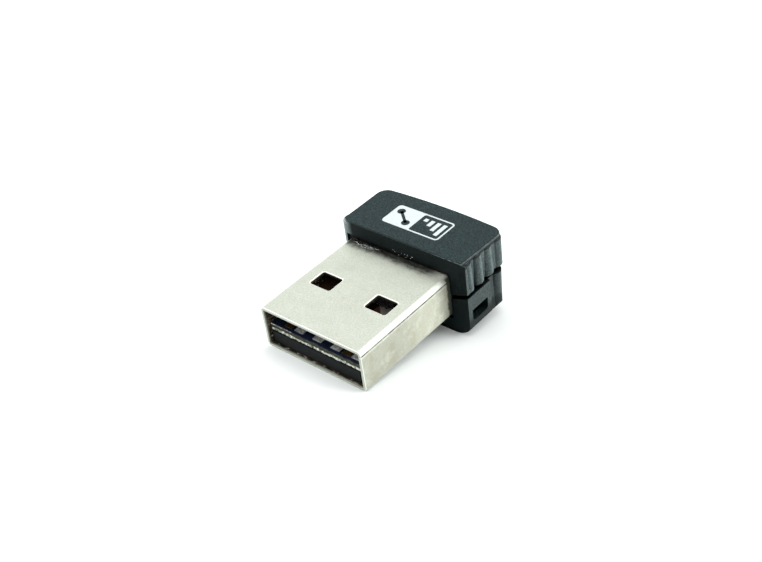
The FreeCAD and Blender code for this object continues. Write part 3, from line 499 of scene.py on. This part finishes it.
def dress_cad():
    """Give every carried-over CAD node its own finish and smooth its curved faces."""
    slots = {part["node"]: part["material_slot"] for part in frame["record"]["subparts"]}
    for name, piece in nodes.items():
        piece.data.materials.clear()
        piece.data.materials.append(MATERIALS[slots[name]])
        piece.data.shade_smooth()
        piece.data.set_sharp_from_angle(angle=SHARP_ANGLE)


# ---------------------------------------------------------------- pieces

def finish_piece(piece, slot, finish=None):
    """Every piece rides on the one body and takes a slot from the record."""
    bpy.context.scene.collection.objects.link(piece)
    piece.data.materials.append(finish or MATERIALS[slot])
    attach(piece, "root")


def mesh_piece(name, bm, slot, smooth=True, finish=None):
    """Turn a finished bmesh into a piece."""
    mesh = bpy.data.meshes.new(name)
    bmesh.ops.recalc_face_normals(bm, faces=bm.faces)
    bm.to_mesh(mesh)
    bm.free()
    if smooth:
        mesh.shade_smooth()
    finish_piece(bpy.data.objects.new(name, mesh), slot, finish)


def rounded_outline(low, high, radius, steps=8):
    """Corner-rounded rectangle as a list of points, anticlockwise."""
    points = []
    corners = ((high[0] - radius, high[1] - radius, 0), (low[0] + radius, high[1] - radius, 90),
               (low[0] + radius, low[1] + radius, 180), (high[0] - radius, low[1] + radius, 270))
    for x, y, start in corners:
        for step in range(steps + 1):
            angle = math.radians(start + 90 * step / steps)
            points.append((x + radius * math.cos(angle), y + radius * math.sin(angle)))
    return points


def wall(bm, a, b):
    """A band of faces between two closed rings that have as many points."""
    for i in range(len(a)):
        j = (i + 1) % len(a)
        bm.faces.new((a[i], a[j], b[j], b[i]))


def slab(bm, outline, low_z, high_z, hole=None):
    """A flat plate with the given outline, and a hole with as many points if one is given."""
    def ring(points, z):
        return [bm.verts.new((x, y, z)) for x, y in points]

    low, high = ring(outline, low_z), ring(outline, high_z)
    wall(bm, low, high)
    if hole:
        low_hole, high_hole = ring(hole, low_z), ring(hole, high_z)
        wall(bm, high_hole, low_hole)
        wall(bm, high, high_hole)
        wall(bm, low_hole, low)
    else:
        bm.faces.new(high)
        bm.faces.new(list(reversed(low)))


def bar(bm, start, end, width, low_z, high_z):
    """A flat straight stroke between two points."""
    a, b = Vector((*start, 0)), Vector((*end, 0))
    side = (b - a).normalized().cross(Vector((0, 0, 1))) * width / 2
    slab(bm, [(p.x, p.y) for p in (a + side, b + side, b - side, a - side)], low_z, high_z)


def disc(bm, centre, radius, low_z, high_z, steps=32):
    """A flat round dot."""
    turns = (2 * math.pi * step / steps for step in range(steps))
    outline = [(centre[0] + radius * math.cos(t), centre[1] + radius * math.sin(t)) for t in turns]
    slab(bm, outline, low_z, high_z)


def print_mark():
    """The generic printed mark on the case's top: a linked pair of dots and a level meter."""
    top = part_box("upper_case")[1].z
    low_z = top - 0.004 * MM
    high_z = top + 0.010 * MM
    left, right = -3.16 * MM, 3.50 * MM
    front, back = 1.78 * MM, 4.80 * MM
    middle = 0.02 * MM
    line = 0.17 * MM
    # a light field on the left, and an open frame on the right that holds four bars
    bm = bmesh.new()
    outer = rounded_outline((left, front), (right, back), 0.38 * MM)
    inner = rounded_outline((middle, front + line), (right - line, back - line), 0.22 * MM)
    slab(bm, outer, low_z, high_z, inner)
    bar_foot = back - 0.62 * MM
    bar_width = 0.42 * MM
    for step in range(4):
        x = middle + (0.62 + 0.72 * step) * MM
        length = 0.45 * (1 + step) * MM
        bar(bm, (x, bar_foot), (x, bar_foot - length), bar_width, low_z, high_z)
    mesh_piece("print_frame", bm, "print_ink", smooth=False)
    # the dark sign on the light field stands a touch proud of the ink, so that it shows
    bm = bmesh.new()
    sign_z = high_z + 0.004 * MM
    dot_radius = 0.42 * MM
    first = (left + 0.80 * MM, back - 0.85 * MM)
    second = (middle - 0.85 * MM, front + 0.85 * MM)
    bar(bm, first, second, 0.30 * MM, low_z, sign_z)
    for dot in (first, second):
        disc(bm, dot, dot_radius, low_z, sign_z)
    mesh_piece("print_sign", bm, "case_plastic", smooth=False)


def lumps(name, places, flat=0.6, seed=0.0, finish=None):
    """Small irregular grains of glue or dust, each given as a centre and a size."""
    bm = bmesh.new()
    for at, size in places:
        start = len(bm.verts)
        bmesh.ops.create_icosphere(bm, subdivisions=2, radius=size, matrix=Matrix.Translation(at))
        bm.verts.ensure_lookup_table()
        stretch = random.uniform(0.8, 1.9)
        for vert in bm.verts[start:]:
            away = vert.co - at
            lump = 1 + 0.7 * noise.noise(vert.co * 7000 + Vector((seed, 0, 0)))
            vert.co = at + Vector((away.x * lump * stretch, away.y * lump, away.z * lump * flat))
    mesh_piece(name, bm, "glue", finish=finish)


def glue_crumbs():
    """Set glue and dust along the seam where the plug enters the case."""
    low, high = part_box("plug_shell")
    streak_z = 2.93 * MM
    dark, pale = [], []
    # glue on the plug, thickest at the seam and towards the left
    for _ in range(48):
        x = low.x + (0.3 + 4.6 * random.random() ** 1.3) * MM
        y = -abs(random.gauss(0, 0.09)) * MM + 0.12 * MM
        size = random.uniform(0.03, 0.09) * MM
        dark.append((Vector((x, y, high.z + size * 0.2)), size))
    # dust on the plug
    for _ in range(7):
        x = low.x + random.uniform(0.35, 3.2) * MM
        y = -random.uniform(-0.1, 0.45) * MM
        size = random.uniform(0.015, 0.045) * MM
        pale.append((Vector((x, y, high.z + size * 0.5)), size))
    # dust in a streak on the case's front, above the plug
    for _ in range(22):
        x = random.uniform(-0.8, 2.0) * MM
        size = random.uniform(0.015, 0.042) * MM
        pale.append((Vector((x, -size * 0.2, streak_z + random.gauss(0, 0.11) * MM)), size))
    lumps("glue_crumbs", dark)
    lumps("dust_crumbs", pale, flat=0.8, seed=5.0, finish=PALE_DUST)


def glue_strands():
    """Torn threads of glue lying on the plug beside the case's front."""
    low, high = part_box("plug_shell")
    bm = bmesh.new()
    sides, steps = 8, 48
    # where each thread starts and ends, from the plug's left side, and its y, in millimetres
    threads = ((0.8, 3.5, -0.20), (1.3, 3.0, -0.40), (2.2, 3.9, -0.08))
    for seed, (start, end, y) in enumerate(threads, 1):
        rings = []
        for step in range(steps + 1):
            # each thread sways, lifts and swells along its length, and tapers at both ends
            along = step / steps
            x = low.x + (start + (end - start) * along) * MM
            sway = noise.noise(Vector((along * 5, seed, 0))) * 0.20 * MM
            lift = (0.02 + 0.05 * abs(noise.noise(Vector((along * 6, seed, 5))))) * MM
            thick = (0.038 + 0.045 * abs(noise.noise(Vector((along * 9, seed, 9))))) * MM
            thick *= math.sin(math.pi * (0.02 + 0.96 * along)) ** 0.5
            centre = Vector((x, y * MM + sway, high.z + lift))
            ring = []
            for side in range(sides):
                turn = 2 * math.pi * side / sides
                out = Vector((0, math.cos(turn), math.sin(turn))) * thick
                ring.append(bm.verts.new(centre + out))
            rings.append(ring)
        for a, b in zip(rings, rings[1:]):
            wall(bm, a, b)
        bm.faces.new(list(reversed(rings[0])))
        bm.faces.new(rings[-1])
    mesh_piece("glue_strands", bm, "glue", finish=PALE_DUST)


def board_fibres():
    """Torn glass fibre along the board's sawn front edge."""
    low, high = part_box("circuit_board")
    left, width = low.x + 0.05 * MM, high.x - low.x - 0.1 * MM
    shallowest = 0.004 * MM
    bm = bmesh.new()
    columns, rows = 160, 8
    grid = []
    for row in range(rows + 1):
        z = low.z + (high.z - low.z) * row / rows
        line = []
        for column in range(columns + 1):
            x = left + width * column / columns
            rough = noise.noise(Vector((x * 2600, z * 3800, 1.7)))
            fine = noise.noise(Vector((x * 9000, z * 9000, 4.1)))
            depth = (0.05 + 0.055 * rough + 0.03 * fine) * MM
            fray = 0.055 * MM * noise.noise(Vector((x * 3300, row * 3.0, 9.0)))
            if 0 < row < rows:
                fray = 0
            line.append(bm.verts.new((x, low.y - max(depth, shallowest), z + fray)))
        grid.append(line)
    for row in range(rows):
        for column in range(columns):
            bm.faces.new((grid[row][column], grid[row][column + 1],
                          grid[row + 1][column + 1], grid[row + 1][column]))
    # close the sheet with a rim and a back face just inside the board
    border = grid[0] + [line[-1] for line in grid[1:]]
    border += grid[-1][-2::-1] + [line[0] for line in grid[-2:0:-1]]
    back = [bm.verts.new((v.co.x, low.y + 0.02 * MM, v.co.z)) for v in border]
    wall(bm, border[::-1], back[::-1])
    bm.faces.new(back)
    mesh_piece("board_fibres", bm, "board_mask", smooth=False)


# ---------------------------------------------------------------- floor, lights, camera

# the adapter leans 7.9 degrees nose down on its mouth's lower edge and its case's lower
# front edge, so in its own frame the floor rises towards the mouth
FLOOR_UP = Vector((0, 0.1374, 0.9905)).normalized()
FLOOR_RADIUS = 0.16


def add_floor():
    """A round white floor under the resting adapter."""
    m = Nodes("floor")
    cloud = m.noise(20, 2, 0.5)
    m.set(Base_Color=m.mottle(cloud, (0.705, 0.735, 0.728), (0.725, 0.755, 0.748)),
          Roughness=0.9, Specular_IOR_Level=0.2)
    mesh = bpy.data.meshes.new("floor")
    bm = bmesh.new()
    bmesh.ops.create_circle(bm, cap_ends=True, segments=96, radius=FLOOR_RADIUS)
    bm.to_mesh(mesh)
    bm.free()
    floor = bpy.data.objects.new("floor", mesh)
    bpy.context.scene.collection.objects.link(floor)
    mesh.materials.append(m.material)
    touch = Vector((0, 0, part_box("lower_case")[0].z))
    lean = Vector((0, 0, 1)).rotation_difference(FLOOR_UP).to_matrix()
    floor.matrix_world = Matrix.Translation(touch) @ lean.to_4x4()


def add_area(name, position, size, power):
    """A white rectangular light that points at the adapter."""
    light = bpy.data.lights.new(name, "AREA")
    light.shape = "RECTANGLE"
    light.size, light.size_y = size
    light.energy = power
    lamp = bpy.data.objects.new(name, light)
    bpy.context.scene.collection.objects.link(lamp)
    lamp.location = position
    lamp.rotation_mode = "QUATERNION"
    lamp.rotation_quaternion = (-Vector(position)).to_track_quat("-Z", "Y")


def add_lights():
    """A white studio, brightest above and behind, with soft lights overhead and at both sides."""
    brightest_side, dim, bright = (0.25, 0.65, 0.70), 0.15, 1.1
    world = bpy.data.worlds.new("studio")
    bpy.context.scene.world = world
    world.use_nodes = True
    tree = world.node_tree
    background = tree.nodes["Background"]
    direction = tree.nodes.new("ShaderNodeTexCoord").outputs["Generated"]
    along = tree.nodes.new("ShaderNodeVectorMath")
    along.operation = "DOT_PRODUCT"
    tree.links.new(direction, along.inputs[0])
    along.inputs[1].default_value = brightest_side
    level = tree.nodes.new("ShaderNodeMapRange")
    level.interpolation_type = "SMOOTHSTEP"
    tree.links.new(along.outputs["Value"], level.inputs["Value"])
    level.inputs["From Min"].default_value = -0.6
    level.inputs["From Max"].default_value = 0.65
    level.inputs["To Min"].default_value = dim
    level.inputs["To Max"].default_value = bright
    background.inputs["Color"].default_value = (1, 1, 1, 1)
    tree.links.new(level.outputs["Result"], background.inputs["Strength"])
    add_area("overhead", (0.03, 0.05, 0.25), (0.22, 0.22), 0.28)
    add_area("key", (0.19, 0.12, 0.10), (0.14, 0.14), 0.40)
    add_area("left_edge", (-0.20, -0.035, 0.06), (0.07, 0.10), 0.7)


def add_camera():
    """The camera looks down from the front right, 45 degrees round and 37 above, with a roll."""
    azimuth, height, roll = math.radians(45.03), math.radians(36.90), math.radians(-8.38)
    position = Vector((58.84, -61.29, 63.57)) * MM
    right = Vector((math.cos(azimuth), math.sin(azimuth), 0))
    back = Vector((math.sin(azimuth) * math.cos(height), -math.cos(azimuth) * math.cos(height),
                   math.sin(height)))
    up = back.cross(right)
    cam_right = right * math.cos(roll) + up * math.sin(roll)
    cam_up = back.cross(cam_right)
    camera = bpy.data.objects.new("camera", bpy.data.cameras.new("camera"))
    bpy.context.scene.collection.objects.link(camera)
    turn = Matrix((cam_right, cam_up, back)).transposed()
    camera.matrix_world = Matrix.Translation(position) @ turn.to_4x4()
    camera.data.sensor_width = 36
    camera.data.lens = 53.26
    camera.data.clip_start = 0.001
    bpy.context.scene.camera = camera


dress_cad()
print_mark()
glue_crumbs()
glue_strands()
board_fibres()
add_floor()
add_lights()
add_camera()
bpy.context.scene.view_settings.view_transform = "Standard"
